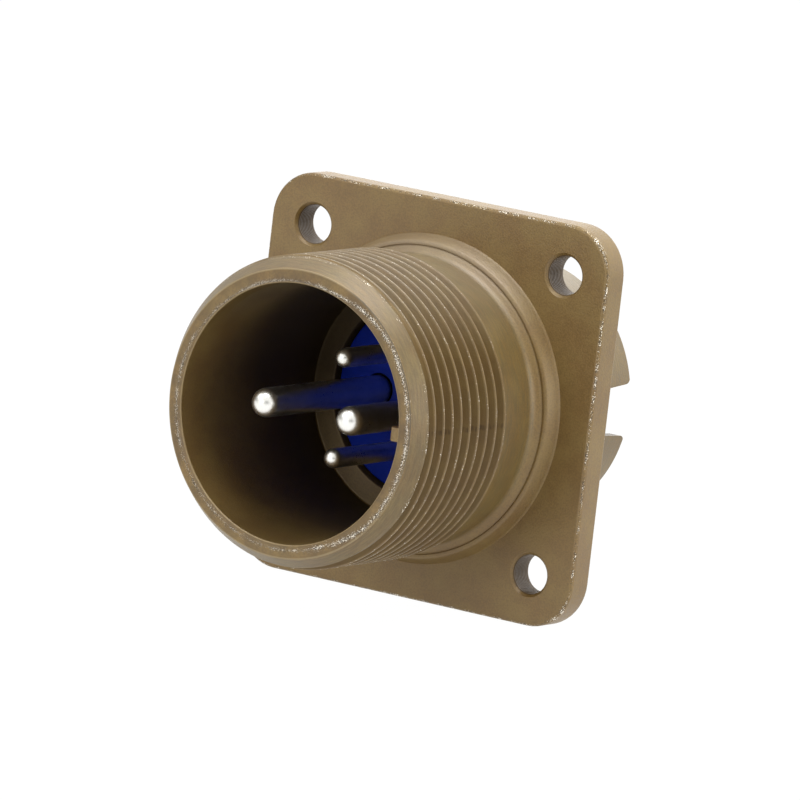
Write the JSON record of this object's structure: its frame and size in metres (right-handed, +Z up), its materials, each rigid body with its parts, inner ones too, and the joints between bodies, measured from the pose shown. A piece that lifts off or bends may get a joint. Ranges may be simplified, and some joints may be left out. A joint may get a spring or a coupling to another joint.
{
  "type": "circular connector",
  "caption": "Box-mounting circular receptacle: square flange, threaded barrel, blue insert with male pins, slotted rear skirt with solder cups.",
  "frame": {"origin": "on the connector's axis at the flange's rear face, which lies on the panel; the centre of the four-hole pattern", "axes": "-Y out of the mouth, along the mating axis; +Z up; +X to the side of the polarising key"},
  "size_m": [0.033, 0.0341, 0.033],
  "materials": {
    "plated_shell": "olive-drab plating, satin, worn bright on edges",
    "blue_insert": "moulded, satin",
    "silver_contact": "silver plated, polished",
    "spring_steel": "plain spring steel"
  },
  "bodies": {
    "root": {"shell": "plated_shell", "front_insert": "blue_insert", "rear_insert": "blue_insert", "large_pin_right": "silver_contact", "large_pin_left": "silver_contact", "small_pin_top": "silver_contact", "small_pin_bottom": "silver_contact", "retaining_ring": "spring_steel"}
  },
  "joints": []
}
